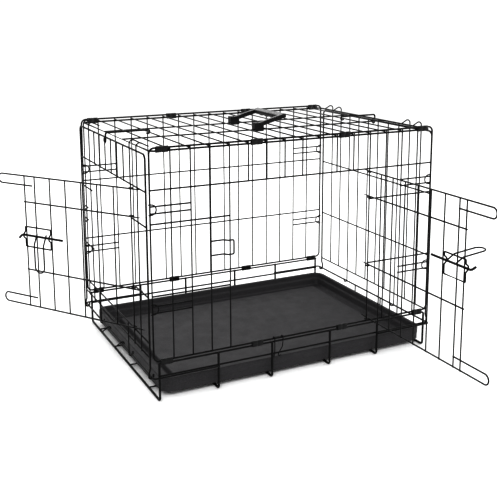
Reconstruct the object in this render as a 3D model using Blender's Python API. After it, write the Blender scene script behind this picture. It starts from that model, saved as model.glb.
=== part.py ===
"""Folding wire dog crate with two doors, a slide-out plastic tray and a carry handle.

The crate stands on the floor plane z = 0, centred on x = y = 0. x runs along its length, and the
front, which holds the long side's door, faces -y. The left end, which holds the other door, faces -x.
Run with: blender --background --python part.py
"""

import math
from typing import NamedTuple

import bmesh
import bpy
from mathutils import Matrix, Vector

X, Y, Z = Vector((1, 0, 0)), Vector((0, 1, 0)), Vector((0, 0, 1))

# Wire diameters.
FRAME_WIRE = 0.0036  # the bent border of each panel
RAIL_WIRE = 0.0030  # long wires across a panel, and all of a door's border
MESH_WIRE = 0.0026  # closely spaced wires
BASE_WIRE = 0.0045  # the U-shaped wires under the tray
ROD_WIRE = 0.0046  # slide bolts
LOCK_WIRE = 0.0020  # the small hook that holds the folded crate shut
WELD = 0.0003  # how far two welded wires sink into each other
GAP = 0.0003  # between separate pieces that touch

# Box of the crate: axes of the panels' border wires.
HALF_LENGTH = 0.3090
HALF_DEPTH = 0.2225
BAYS_LONG = 16
BAYS_WIDE = 11
LONG_PITCH = 2 * HALF_LENGTH / BAYS_LONG
PANEL_BOTTOM = 0.0790
PANEL_TOP = 0.4750
HEADER = 0.3995
UPPER_RAIL = 0.3375
LOWER_RAIL = 0.2035
CORNER_RADIUS = 0.0100
MESH_OFFSET = (FRAME_WIRE + MESH_WIRE) / 2 - 2 * WELD  # mesh wires lie outside the border

# Roof, hung inside the panels' top wires.
ROOF_Z = PANEL_TOP - 0.0060
ROOF_HALF_DEPTH = HALF_DEPTH - 0.0025
ROOF_HALF_LENGTH = 0.3050
ROOF_LONG_WIRES = 0.0590

# End panels, just outside the ends of the long panels.
END_X = 0.3140
END_HALF_WIDTH = 0.2160
END_TOP = 0.4632
WIDE_PITCH = 2 * END_HALF_WIDTH / BAYS_WIDE
END_MESH_X = END_X + MESH_OFFSET
MESH_TOP = END_TOP + 0.0015
RIGHT_RAILS = (0.3312, 0.1970, 0.0750)
LEFT_HEADER = 0.3955
LEFT_STRIP_RAILS = (0.3310, 0.2005)
LEFT_SILL = 0.1130
LEFT_LOWER_RAIL = 0.0850
J_BAYS = (3, 8)  # mesh wires that run on down to hooks round the base

# Base.
BASE_HALF_LENGTH = 0.3000
BASE_UPRIGHTS = (-BASE_HALF_LENGTH, -0.1810, -0.0660, 0.0660, 0.1810, BASE_HALF_LENGTH)
UPRIGHT_Y = HALF_DEPTH + (BASE_WIRE + FRAME_WIRE) / 2 - WELD
BASE_RAIL = PANEL_BOTTOM - 0.0060
BASE_MID_RAIL = 0.0485
END_RAIL_X = 0.3124
END_RAIL_Y = UPRIGHT_Y + (BASE_WIRE + FRAME_WIRE) / 2 - WELD
FLOOR_WIRES_Y = (-0.170, -0.055, 0.050, 0.160)
FLOOR_WIRE_Z = BASE_WIRE + RAIL_WIRE / 2 - WELD
STOP_LEGS_Y = (-0.0420, 0.0500)
POST_X = END_RAIL_X - (FRAME_WIRE + RAIL_WIRE) / 2 + WELD

# Tray.
TRAY_LEFT = -0.2920
TRAY_RIGHT = 0.3060
TRAY_HALF_WIDTH = 0.2165
TRAY_CORNER = 0.0240
TRAY_BOTTOM = FLOOR_WIRE_Z + RAIL_WIRE / 2 + GAP
TRAY_TOP = 0.0380

# Doors. Positions along a door are measured from its hinge wire.
FRONT_BAYS = (4, 12)  # the doorway's far upright and its hinge upright
LEFT_BAYS = (9, 2)
CURL = 0.0036  # from the hinge wire's axis to the axis of the wire curled round it
LOOP_HEIGHT = 0.0190  # of the finger loops at a door's top and bottom corners
GUIDE_HEIGHT = 0.0410
KEEPER_HEIGHT = 0.0272
HANDLE_WIDTH = 0.0240  # between the axes of the bolt handle's two legs
HANDLE_ROOT = 0.0170  # the legs' first stretch, which leans out over the guide
HANDLE_LEAN = 25.0
HANDLE_LENGTH = 0.0570

# Hinge clips, one crimped sleeve round each pair of long wires.
CLIP_BAYS = (0.35, 5.20, 10.20, 15.07)
CLIP_LENGTH = 0.60 * LONG_PITCH
CLIP_WALL = 0.0008

# Carry handle.
PIVOT_X = -0.0075
PIVOT_Z = 0.4797
HANDLE_REACH = 0.0580
HANDLE_Y = ROOF_LONG_WIRES
HANDLE_LIFT = 15.0  # degrees that its springy legs hold the handle up from the roof

# Roof latches, curled round a roof wire.
LATCH_BAY = 2


class Door(NamedTuple):
    """A door's measures, with heights above the floor."""

    name: str
    open_by: float  # degrees
    opening: float  # from the hinge wire to the doorway's far upright
    pitch: float
    rails: tuple
    edge: float
    loop_tip: float
    guide_z: float
    keeper_z: float
    keeper_tip: float
    bolt_z: float
    bolt_span: tuple  # its tail and its bent tip
    bolt_bend: tuple  # the bent tip's length and angle from the door's outward side
    handle_at: float
    handle_angle: float
    handle_stub: float


FRONT_DOOR = Door(
    name="front_door",
    open_by=90.0,
    opening=(FRONT_BAYS[1] - FRONT_BAYS[0]) * LONG_PITCH,
    pitch=LONG_PITCH,
    rails=(0.3935, 0.3420, 0.1990, 0.0845),
    edge=0.2890,
    loop_tip=0.3585,
    guide_z=0.2680,
    keeper_z=0.2805,
    keeper_tip=0.3060,
    bolt_z=0.2730,
    bolt_span=(0.1940, 0.3015),
    bolt_bend=(0.0115, 22.0),
    handle_at=0.2535,
    handle_angle=6.0,
    handle_stub=0.0,
)
LEFT_DOOR = Door(
    name="left_door",
    open_by=35.0,
    opening=(LEFT_BAYS[0] - LEFT_BAYS[1]) * WIDE_PITCH,
    pitch=WIDE_PITCH,
    rails=(0.3890, 0.3360, 0.1955, 0.1185),
    edge=0.2623,
    loop_tip=0.3286,
    guide_z=0.2645,
    keeper_z=0.2765,
    keeper_tip=0.2750,
    bolt_z=0.2675,
    bolt_span=(0.1650, 0.2705),
    bolt_bend=(0.0100, -30.0),
    handle_at=0.2180,
    handle_angle=-90.0,
    handle_stub=0.0055,
)

MATERIALS = {
    "black_wire": ((0.012, 0.012, 0.013), 0.42, 0.9),
    "black_steel": ((0.010, 0.010, 0.011), 0.35, 0.9),
    "tray_plastic": ((0.030, 0.030, 0.032), 0.62, 0.0),
    "black_plastic": ((0.014, 0.014, 0.015), 0.48, 0.0),
}


def clear_scene():
    for item in list(bpy.data.objects):
        bpy.data.objects.remove(item, do_unlink=True)


def material(name):
    if name in bpy.data.materials:
        return bpy.data.materials[name]
    colour, roughness, metallic = MATERIALS[name]
    made = bpy.data.materials.new(name)
    made.use_nodes = True
    shader = made.node_tree.nodes["Principled BSDF"]
    shader.inputs["Base Color"].default_value = (*colour, 1)
    shader.inputs["Roughness"].default_value = roughness
    shader.inputs["Metallic"].default_value = metallic
    made.diffuse_color = (*colour, 1)
    return made


def pivot(name, place, turn=0.0, parent=None):
    """An empty on a joint's axis, turned about z."""
    made = bpy.data.objects.new(name, None)
    made.empty_display_size = 0.02
    bpy.context.scene.collection.objects.link(made)
    made.parent = parent
    made.location = place
    made.rotation_euler = (0, 0, turn)
    return made


def link(name, mesh, finish, parent, place=(0, 0, 0)):
    mesh.materials.append(material(finish))
    made = bpy.data.objects.new(name, mesh)
    bpy.context.scene.collection.objects.link(made)
    made.parent = parent
    made.location = place
    return made


# Wires ---------------------------------------------------------------------------------------------


def arc(centre, radius, start, end, steps, along, up):
    """Points of an arc in the plane of along and up, with its angles in degrees."""
    points = []
    for i in range(steps + 1):
        a = math.radians(start + (end - start) * i / steps)
        points.append(Vector(centre) + radius * (math.cos(a) * along + math.sin(a) * up))
    return points


def corner_reach(diameter, sides=8):
    """From a wire's axis to the corners of its section."""
    return diameter / 2 / math.cos(math.pi / sides)


def wrap_radius(held, wrapped, step):
    """The radius of a bend that clears the wire it holds, in arcs of so many degrees a step."""
    return (held + wrapped + GAP) / math.cos(math.radians(step / 2))


def rounded(points, radius, steps=2, closed=False):
    """A polyline with each corner replaced by an arc, or by a chamfer when steps is 1."""
    points = [Vector(p) for p in points]
    count = len(points)
    made = []
    for i, corner in enumerate(points):
        if not closed and i in (0, count - 1):
            made.append(corner)
            continue
        before = (points[i - 1] - corner).normalized()
        after = (points[(i + 1) % count] - corner).normalized()
        half = before.angle(after) / 2
        back = radius / math.tan(half)
        middle = corner + (before + after).normalized() * (radius / math.sin(half))
        first, last = corner + before * back - middle, corner + after * back - middle
        turn = first.angle(last)
        for s in range(steps + 1):
            t = s / steps
            mix = (math.sin((1 - t) * turn) * first + math.sin(t * turn) * last) / math.sin(turn)
            made.append(middle + mix)
    return made


def add_wire(bm, points, diameter, flat, sides=8, closed=False):
    """A closed prism along a polyline, mitred at its bends. Two flats of its first run face along flat."""
    points = [Vector(p) for p in points]
    count = len(points)
    runs = [(points[(i + 1) % count] - points[i]).normalized() for i in range(count)]
    side = runs[0].cross(Vector(flat)).normalized()
    up = side.cross(runs[0])
    reach = corner_reach(diameter, sides)
    angles = [2 * math.pi * (k + 0.5) / sides + math.pi / 2 for k in range(sides)]
    section = [reach * (math.cos(a) * side + math.sin(a) * up) for a in angles]
    rings = []
    for i, point in enumerate(points):
        before = runs[i - 1] if closed or i > 0 else runs[0]
        after = runs[i] if closed or i < count - 1 else before
        if i > 0:
            turn = before.rotation_difference(after)
            section = [turn @ offset for offset in section]
        mitre = (before + after).normalized()
        slide = after / after.dot(mitre)
        rings.append([bm.verts.new(point + o - slide * o.dot(mitre)) for o in section])
    for i in range(count if closed else count - 1):
        here, there = rings[i], rings[(i + 1) % count]
        for k in range(sides):
            n = (k + 1) % sides
            bm.faces.new((here[k], here[n], there[n], there[k]))
    if not closed:
        bm.faces.new(rings[0][::-1])
        bm.faces.new(rings[-1])


def wires_mesh(name, wires):
    """One mesh from wires that don't touch each other. Each is (points, diameter, flat, sides, closed)."""
    bm = bmesh.new()
    for points, diameter, flat, sides, closed in wires:
        add_wire(bm, points, diameter, flat, sides, closed)
    return finish_mesh(bm, name)


def finish_mesh(bm, name):
    bmesh.ops.recalc_face_normals(bm, faces=bm.faces)
    mesh = bpy.data.meshes.new(name)
    bm.to_mesh(mesh)
    bm.free()
    mesh.shade_smooth()
    mesh.set_sharp_from_angle(angle=math.radians(50))
    return mesh


def cutter(name, mesh, parent, place=(0, 0, 0)):
    made = link(name, mesh, "black_wire", parent, place)
    made.hide_render = True
    made.display_type = "WIRE"
    return made


def join(target, other, operation="UNION"):
    change = target.modifiers.new(other.name, "BOOLEAN")
    change.operation = operation
    change.object = other
    change.solver = "EXACT"


def welded(name, layers, finish, parent, origin=(0, 0, 0)):
    """A node made of layers of wires. The wires within a layer are apart, and each layer is joined on."""
    meshes = [wires_mesh(f"{name}_layer{i}", layer) for i, layer in enumerate(layers)]
    for mesh in meshes:
        mesh.transform(Matrix.Translation(-Vector(origin)))
    made = link(name, meshes[0], finish, parent)
    for i, mesh in enumerate(meshes[1:], 1):
        join(made, cutter(f"{name}_weld{i}", mesh, parent))
    return made


def straight(start, end, diameter, flat, sides=6):
    return ((start, end), diameter, flat, sides, False)


def bent(points, diameter, flat, sides=8):
    return (points, diameter, flat, sides, False)


def border(corners, flat, diameter=FRAME_WIRE):
    """A closed frame wire with bent corners."""
    return (rounded(corners, CORNER_RADIUS, 3, True), diameter, flat, 8, True)


# Long panels ----------------------------------------------------------------------------------------


def bay_x(bay):
    return -HALF_LENGTH + bay * LONG_PITCH


def bay_y(bay):
    return -END_HALF_WIDTH + bay * WIDE_PITCH


def mesh_wire(x, y, low, high, flat):
    """A thin upright wire whose ends stop just past the axes of the wires it is welded to."""
    return straight((x, y, low - WELD), (x, y, high + WELD), MESH_WIRE, flat, 6)


def corner_catches(side):
    """The short bars and the C-shaped loops near a long panel's four corners."""
    bars, loops = [], []
    y = side * HALF_DEPTH
    inner_y = side * (HALF_DEPTH - (RAIL_WIRE + MESH_WIRE) / 2 + WELD)
    for end in (-1, 1):
        for middle in (0.3635, 0.1780):
            for z in (middle - 0.0065, middle + 0.0065):
                far = end * (HALF_LENGTH - 2 * LONG_PITCH - WELD)
                bars.append(straight((end * HALF_LENGTH, y, z), (far, y, z), RAIL_WIRE, Y))
            centre = (end * (HALF_LENGTH - 0.0030), inner_y, middle)
            curve = arc(centre, 0.0095, 90, -90, 4, -end * X, Z)
            start = Vector((end * (HALF_LENGTH + 0.0022), inner_y, middle + 0.0095))
            stop = Vector((end * (HALF_LENGTH + 0.0022), inner_y, middle - 0.0095))
            loops.append(bent([start, *curve, stop], MESH_WIRE, Y, 6))
    return bars, loops


def keeper_wire(door, place, angle):
    """The loop that a slide bolt shoots into, welded to the two uprights beside the doorway."""
    high = KEEPER_HEIGHT / 2
    foot = (MESH_WIRE + RAIL_WIRE) / 2 - WELD
    stand = foot + 0.0080
    tip = door.keeper_tip
    top = [
        (door.opening + door.pitch + 0.0030, foot, high),
        (tip + 0.0185, foot, high),
        (tip + 0.0105, stand, high),
        (tip + 0.0040, stand, high),
        (tip, stand, high - 0.0040),
    ]
    loop = top + [(x, y, -z) for x, y, z in reversed(top)]
    turn = Matrix.Translation(place + door.keeper_z * Z) @ Matrix.Rotation(angle, 4, "Z")
    return bent([turn @ Vector(p) for p in loop], RAIL_WIRE, Z)


def front_hinge():
    """The front door's hinge axis, and its turn when closed."""
    return Vector((bay_x(FRONT_BAYS[1]), -HALF_DEPTH - MESH_OFFSET, 0)), math.radians(180)


def left_hinge():
    return Vector((-END_MESH_X, bay_y(LEFT_BAYS[1]), 0)), math.radians(90)


def long_panel(side, door_bays=None):
    """Layers of a front (side -1) or back (side 1) panel."""
    y = side * HALF_DEPTH
    mesh_y = side * (HALF_DEPTH + MESH_OFFSET)
    low, high = PANEL_BOTTOM, PANEL_TOP
    frame = border(
        [
            (-HALF_LENGTH, y, low),
            (HALF_LENGTH, y, low),
            (HALF_LENGTH, y, high),
            (-HALF_LENGTH, y, high),
        ],
        Y,
    )
    mesh, rails = [], []
    for bay in range(1, BAYS_LONG):
        in_doorway = door_bays and door_bays[0] < bay < door_bays[1]
        mesh.append(mesh_wire(bay_x(bay), mesh_y, HEADER if in_doorway else low, high, Y))
    spans = [(-HALF_LENGTH, HALF_LENGTH)]
    if door_bays:
        rails.append(straight((-HALF_LENGTH, y, HEADER), (HALF_LENGTH, y, HEADER), RAIL_WIRE, Y))
        spans = [
            (-HALF_LENGTH, bay_x(door_bays[0]) + WELD),
            (bay_x(door_bays[1]) - WELD, HALF_LENGTH),
        ]
    for z in (UPPER_RAIL, LOWER_RAIL):
        for start, stop in spans:
            rails.append(straight((start, y, z), (stop, y, z), RAIL_WIRE, Y))
    bars, loops = corner_catches(side)
    return [[frame], mesh, rails + bars, loops]


def make_long_panels(root):
    layers = long_panel(-1, FRONT_BAYS)
    layers[3].append(keeper_wire(FRONT_DOOR, *front_hinge()))
    welded("front_panel", layers, "black_wire", root)
    welded("back_panel", long_panel(1), "black_wire", root)


def make_roof(root):
    corners = [
        (sx * ROOF_HALF_LENGTH, sy * ROOF_HALF_DEPTH, ROOF_Z)
        for sx, sy in ((-1, -1), (1, -1), (1, 1), (-1, 1))
    ]
    across = []
    for bay in range(1, BAYS_LONG):
        start = (bay_x(bay), -ROOF_HALF_DEPTH - WELD, ROOF_Z + MESH_OFFSET)
        stop = (bay_x(bay), ROOF_HALF_DEPTH + WELD, ROOF_Z + MESH_OFFSET)
        across.append(straight(start, stop, MESH_WIRE, Z, 6))
    along = []
    for y in (-ROOF_LONG_WIRES, ROOF_LONG_WIRES):
        start, stop = (-ROOF_HALF_LENGTH, y, ROOF_Z), (ROOF_HALF_LENGTH, y, ROOF_Z)
        along.append(straight(start, stop, RAIL_WIRE, Z))
    welded("roof_panel", [[border(corners, Z)], across, along], "black_wire", root)


# End panels -----------------------------------------------------------------------------------------


def j_hook(side, x, y):
    """The points of a wire's lower end, bent in under the base's end rail and up again."""
    radius = x - END_RAIL_X
    curve = arc((side * END_RAIL_X, y, BASE_MID_RAIL), radius, 0, -180, 4, side * X, Z)
    return [*curve, curve[-1] + 0.0045 * Z]


def end_border(side):
    """The border: a hook at one foot, up, over the top, down, and a hook at the other foot."""
    foot_x = END_RAIL_X + wrap_radius(corner_reach(FRAME_WIRE), corner_reach(FRAME_WIRE), 45)
    edges = []
    for y in (-END_HALF_WIDTH, END_HALF_WIDTH):
        hook = j_hook(side, foot_x, y)
        edges.append([*reversed(hook), Vector((side * foot_x, y, 0.0560))])
        edges[-1].append(Vector((side * END_X, y, 0.0640)))
    tops = [Vector((side * END_X, y, END_TOP)) for y in (-END_HALF_WIDTH, END_HALF_WIDTH)]
    arch = rounded([edges[0][-1], *tops, edges[1][-1]], CORNER_RADIUS, 3)
    return [*edges[0][:-1], *arch, *reversed(edges[1][:-1])]


def end_panel(side, has_door, body):
    """An end panel, which hooks round the base's end rail and snaps over the roof's end wire."""
    x, mesh_x = side * END_X, side * END_MESH_X
    low = LEFT_LOWER_RAIL if has_door else RIGHT_RAILS[-1]
    whole = (-END_HALF_WIDTH, END_HALF_WIDTH)
    spans = [(whole, z) for z in RIGHT_RAILS]
    if has_door:
        hinge_y, far_y = bay_y(LEFT_BAYS[1]), bay_y(LEFT_BAYS[0])
        strips = (whole[0], hinge_y + WELD), (far_y - WELD, whole[1])
        spans = [(whole, z) for z in (LEFT_HEADER, LEFT_SILL, LEFT_LOWER_RAIL)]
        spans += [(strip, z) for strip in strips for z in LEFT_STRIP_RAILS]
    mesh = []
    for bay in range(1, BAYS_WIDE):
        y = bay_y(bay)
        in_doorway = has_door and LEFT_BAYS[1] < bay < LEFT_BAYS[0]
        top = Vector((mesh_x, y, MESH_TOP))
        foot = Vector((mesh_x, y, (LEFT_HEADER if in_doorway else low) - WELD))
        if bay in J_BAYS:
            hook = j_hook(side, END_MESH_X, y)
            start = Vector((mesh_x, y, LEFT_SILL + WELD)) if has_door else top
            mesh.append(bent([start, *hook], MESH_WIRE, X, 6))
        if has_door or bay not in J_BAYS:
            mesh.append(bent([foot, top], MESH_WIRE, X, 6))
    rails = [straight((x, a, z), (x, b, z), RAIL_WIRE, X) for (a, b), z in spans]
    layers = [[bent(end_border(side), FRAME_WIRE, Y)], mesh, rails]
    if has_door:
        layers.append([keeper_wire(LEFT_DOOR, *left_hinge())])
    end = "right" if side > 0 else "left"
    welded(f"{end}_end_panel", layers, "black_wire", body, body.location)
    for i, bay in enumerate((1, 2, BAYS_WIDE - 2, BAYS_WIDE - 1), 1):
        make_top_hook(side, f"{end}_top_hook_{i}", bay_y(bay), body)


def make_top_hook(side, name, y, body):
    """The springy end of an upright wire, which snaps over the roof's end wire."""
    foot = Vector((side * END_MESH_X, y, END_TOP + FRAME_WIRE / 2 + GAP))
    crest = Vector((side * END_MESH_X, y, 0.4835))
    slope = math.radians(28)
    tip = crest - 0.0270 * (math.cos(slope) * side * X + math.sin(slope) * Z)
    path = rounded([foot, crest, tip], 0.0070, 4)
    welded(name, [[bent(path, MESH_WIRE, X, 6)]], "black_wire", body, body.location)


# Base ------------------------------------------------------------------------------------------------


def make_base(root):
    uprights = []
    for x in BASE_UPRIGHTS:
        z = BASE_WIRE / 2
        corners = [
            (x, -UPRIGHT_Y, BASE_RAIL + 0.0006),
            (x, -UPRIGHT_Y, z),
            (x, UPRIGHT_Y, z),
            (x, UPRIGHT_Y, BASE_RAIL + 0.0006),
        ]
        uprights.append(bent(rounded(corners, 0.0070, 2), BASE_WIRE, X))
    rails = []
    reach = BASE_HALF_LENGTH + 0.0010
    for side in (-1, 1):
        for z in (BASE_RAIL, BASE_MID_RAIL):
            y = side * HALF_DEPTH
            rails.append(straight((-reach, y, z), (reach, y, z), FRAME_WIRE, Y, 8))
    ends = []
    for side in (-1, 1):
        inner = side * (abs(BASE_UPRIGHTS[1]) - 0.0010)
        corners = [
            (inner, -END_RAIL_Y, BASE_MID_RAIL),
            (side * END_RAIL_X, -END_RAIL_Y, BASE_MID_RAIL),
            (side * END_RAIL_X, END_RAIL_Y, BASE_MID_RAIL),
            (inner, END_RAIL_Y, BASE_MID_RAIL),
        ]
        ends.append(bent(rounded(corners, 0.0060, 2), FRAME_WIRE, Z))
    floor = []
    for y in FLOOR_WIRES_Y:
        start = (-BASE_HALF_LENGTH - 0.0010, y, FLOOR_WIRE_Z)
        if abs(y) > 0.1:
            floor.append(straight(start, (BASE_HALF_LENGTH + 0.0010, y, FLOOR_WIRE_Z), RAIL_WIRE, Z))
            continue
        turn, top = (POST_X, y, FLOOR_WIRE_Z), (POST_X, y, BASE_MID_RAIL + 0.0010)
        floor.append(bent(rounded([start, turn, top], 0.0035, 2), RAIL_WIRE, Y))
    welded("base_frame", [uprights, rails, ends, floor], "black_wire", root)


def make_tray_stop(body):
    """A wire loop curled round the left end rail. Swung down, it hangs in front of the tray."""
    radius = wrap_radius(corner_reach(FRAME_WIRE), corner_reach(MESH_WIRE, 6), 31)
    curl = arc((0, 0, 0), radius, -120, 125, 8, X, Z)
    near = [p + STOP_LEGS_Y[0] * Y for p in curl]
    far = [p + STOP_LEGS_Y[1] * Y for p in curl]
    out = Vector((-0.0150, 0, -0.0052))
    corners = [near[-1], out + STOP_LEGS_Y[0] * Y, out + STOP_LEGS_Y[1] * Y, far[-1]]
    path = [*near[:-1], *rounded(corners, 0.0050, 2), *reversed(far[:-1])]
    welded("tray_stop", [[bent(path, MESH_WIRE, Y, 6)]], "black_wire", body)


# Tray ------------------------------------------------------------------------------------------------


def tray_ring(inset, z):
    """The tray's rounded outline, drawn in by the inset."""
    radius = max(TRAY_CORNER - inset, 0.0020)
    left, right = TRAY_LEFT + inset, TRAY_RIGHT - inset
    width = TRAY_HALF_WIDTH - inset
    centres = (
        (right - radius, width - radius, 0),
        (left + radius, width - radius, 90),
        (left + radius, -width + radius, 180),
        (right - radius, -width + radius, 270),
    )
    ring = []
    for cx, cy, start in centres:
        ring += arc((cx, cy, z), radius, start, start + 90, 4, X, Y)
    return ring


def make_tray(body):
    floor, wall = 0.0185, 0.0028
    moat = TRAY_BOTTOM + wall
    profile = (
        (0.0460, floor - wall),
        (0.0430, TRAY_BOTTOM),
        (0.0040, TRAY_BOTTOM),
        (0.0010, TRAY_BOTTOM + 0.0030),
        (0.0010, 0.0215),
        (0.0000, 0.0230),
        (0.0000, TRAY_TOP - 0.0012),
        (0.0012, TRAY_TOP),
        (0.0064, TRAY_TOP),
        (0.0076, TRAY_TOP - 0.0016),
        (0.0086, 0.0270),
        (0.0120, 0.0250),
        (0.0140, moat + 0.0030),
        (0.0170, moat),
        (0.0390, moat),
        (0.0430, floor - 0.0010),
        (0.0450, floor),
    )
    bm = bmesh.new()
    rings = [[bm.verts.new(p) for p in tray_ring(inset, z)] for inset, z in profile]
    count = len(rings[0])
    for here, there in zip(rings, rings[1:]):
        for k in range(count):
            n = (k + 1) % count
            bm.faces.new((here[k], here[n], there[n], there[k]))
    bm.faces.new(rings[0][::-1])
    bm.faces.new(rings[-1])
    mesh = finish_mesh(bm, "tray")
    mesh.transform(Matrix.Translation(-body.location))
    link("tray", mesh, "tray_plastic", body)


# Hinge clips ---------------------------------------------------------------------------------------------


def clip_mesh(name, first, second, length):
    """A flattened sleeve along x round two parallel wires, centred on the origin in x."""
    first, second = Vector(first), Vector(second)
    along = (second - first).normalized()
    across = X.cross(along)
    inner = wrap_radius(corner_reach(FRAME_WIRE), 0, 45)
    bm = bmesh.new()
    loops = []
    for radius in (inner + CLIP_WALL, inner):
        points = arc(second, radius, 90, -90, 4, along, across)
        points += arc(first, radius, -90, -270, 4, along, across)
        for x in (-length / 2, length / 2):
            loops.append([bm.verts.new(p + x * X) for p in points])
    outer_a, outer_b, inner_a, inner_b = loops
    count = len(outer_a)
    for k in range(count):
        n = (k + 1) % count
        bm.faces.new((outer_a[k], outer_a[n], outer_b[n], outer_b[k]))
        bm.faces.new((inner_b[k], inner_b[n], inner_a[n], inner_a[k]))
        bm.faces.new((inner_a[k], inner_a[n], outer_a[n], outer_a[k]))
        bm.faces.new((outer_b[k], outer_b[n], inner_b[n], inner_b[k]))
    return finish_mesh(bm, name)


def make_clips(root):
    for side, side_name in ((-1, "front"), (1, "back")):
        pairs = {
            "top": ((0, side * HALF_DEPTH, PANEL_TOP), (0, side * ROOF_HALF_DEPTH, ROOF_Z)),
            "bottom": ((0, side * HALF_DEPTH, PANEL_BOTTOM), (0, side * HALF_DEPTH, BASE_RAIL)),
        }
        for level, (first, second) in pairs.items():
            for i, bay in enumerate(CLIP_BAYS, 1):
                name = f"{side_name}_{level}_hinge_clip_{i}"
                mesh = clip_mesh(name, first, second, CLIP_LENGTH)
                link(name, mesh, "black_steel", root, (bay_x(bay) + CLIP_LENGTH / 2, 0, 0))


# Doors -----------------------------------------------------------------------------------------------


def make_door(door, body):
    """A door in its own frame: its hinge along z through the origin, its wires along +x, outward +y."""
    mesh_y = CURL - (RAIL_WIRE + MESH_WIRE) / 2 + WELD
    high, low = door.rails[0], door.rails[-1]
    spots = [i * door.pitch for i in range(1, int((door.edge - 0.010) / door.pitch) + 1)]
    mesh = [mesh_wire(x, mesh_y, low, high, Y) for x in (*spots, door.edge)]
    rails = []
    radius = LOOP_HEIGHT / 2
    for z in door.rails:
        curl = arc((0, 0, z), CURL, -150, 90, 7, X, Y)
        if z in (high, low):
            toward = -1 if z == high else 1
            centre = (door.loop_tip - radius, CURL, z + toward * radius)
            end = Vector((door.edge - 0.0230, CURL, z + toward * LOOP_HEIGHT))
            path = [*curl, *arc(centre, radius, -90 * toward, 90 * toward, 4, X, Z), end]
        else:
            path = [*curl, Vector((door.edge + WELD, CURL, z))]
        rails.append(bent(path, RAIL_WIRE, Z))
    welded(door.name, [mesh, rails], "black_wire", body)


def make_bolt_guide(door, body, near, foot, stand):
    """A wire loop on the door's face, whose two sides bulge out over the bolt."""
    high, rise = GUIDE_HEIGHT / 2, door.bolt_z - door.guide_z
    side = [(foot, -high), (foot, rise - 0.0080), (stand, rise - 0.0030)]
    side += [(stand, rise + 0.0030), (foot, rise + 0.0080), (foot, high)]
    corners = [Vector((door.edge, y, z)) for y, z in side]
    corners += [Vector((near, y, z)) for y, z in reversed(side)]
    path = []
    for i, corner in enumerate(corners):
        if abs(corner.z) < high:
            path.append(corner)
            continue
        path += rounded([corners[i - 1], corner, corners[(i + 1) % len(corners)]], 0.0030, 2)[1:-1]
    path = [p + door.guide_z * Z for p in path]
    welded(f"{door.name}_bolt_guide", [[(path, RAIL_WIRE, Z, 8, True)]], "black_wire", body)


def out_from(door, angle):
    """A direction in the plane square to the door's bolt, at an angle from the door's outward side."""
    a = math.radians(angle)
    return math.cos(a) * Y + math.sin(a) * Z


def make_bolt(door, body):
    """A rod along +x with a bent tip and a long wire finger loop, in a frame at the rod's tail."""
    length = door.bolt_span[1] - door.bolt_span[0]
    bend, turn = door.bolt_bend
    rod = [Vector(), length * X, length * X + bend * out_from(door, turn)]
    lean = door.handle_angle + HANDLE_LEAN
    root = out_from(door, lean + 90) * ((ROD_WIRE + RAIL_WIRE) / 2 - WELD)
    knee = root + HANDLE_ROOT * out_from(door, lean)
    away, half = out_from(door, door.handle_angle), HANDLE_WIDTH / 2
    end = knee + (HANDLE_LENGTH - half) * away
    leg = rounded([root - door.handle_stub * out_from(door, lean), knee, end], 0.0060, 2)
    middle = (door.handle_at - door.bolt_span[0]) * X
    near = [p + middle - half * X for p in leg[:-1]]
    far = [p + middle + half * X for p in leg[:-1]]
    loop = [*near, *arc(end + middle, half, 180, 0, 6, X, away), *reversed(far)]
    layers = [[bent(rounded(rod, 0.0035, 2), ROD_WIRE, Y)], [bent(loop, RAIL_WIRE, X)]]
    welded(f"{door.name}_slide_bolt", layers, "black_wire", body)


def make_latch(door, body):
    """The slide bolt and its guide on a door's outer face."""
    face = CURL - (RAIL_WIRE + MESH_WIRE) / 2 + WELD + MESH_WIRE / 2
    foot = face + GAP + RAIL_WIRE / 2
    rod_y = face + 2 * GAP + ROD_WIRE / 2
    stand = rod_y + corner_reach(ROD_WIRE) + corner_reach(RAIL_WIRE) + GAP
    near = door.pitch * (int((door.edge - 0.010) / door.pitch) - 1)
    make_bolt_guide(door, body, near, foot, stand)
    place = (door.bolt_span[0], rod_y, door.bolt_z)
    make_bolt(door, pivot(f"{door.name}_bolt_pivot", place, 0, body))


def make_doors(root, left_end):
    for door, frame, parent in ((FRONT_DOOR, front_hinge(), root), (LEFT_DOOR, left_hinge(), left_end)):
        place, turn = frame
        turn += math.radians(door.open_by)
        body = pivot(f"{door.name}_pivot", place - parent.location, turn, parent)
        make_door(door, body)
        make_latch(door, body)


# Small hardware --------------------------------------------------------------------------------------


def make_roof_latch(side, body):
    """A wire bar curled round a roof wire. Its outer end drops over the end panel and ends in a ring."""
    radius = wrap_radius(corner_reach(MESH_WIRE, 6), corner_reach(FRAME_WIRE), 40)
    curl = arc((0, 0, 0), radius, 330, 90, 6, side * X, Z)
    outer = side * END_MESH_X - body.location.x + side * 0.0036
    eye, eye_z = 0.0050, 0.4600 - body.location.z
    drop = rounded([curl[-1], (outer, 0, radius), (outer, 0, eye_z)], 0.0040, 2)
    ring = arc((outer, eye, eye_z), eye, 180, 430, 7, Y, Z)
    name = "left_roof_latch" if side < 0 else "right_roof_latch"
    path = [*curl[:-1], *drop[:-1], *ring]
    welded(name, [[bent(path, FRAME_WIRE, Y)]], "black_wire", body)


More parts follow.
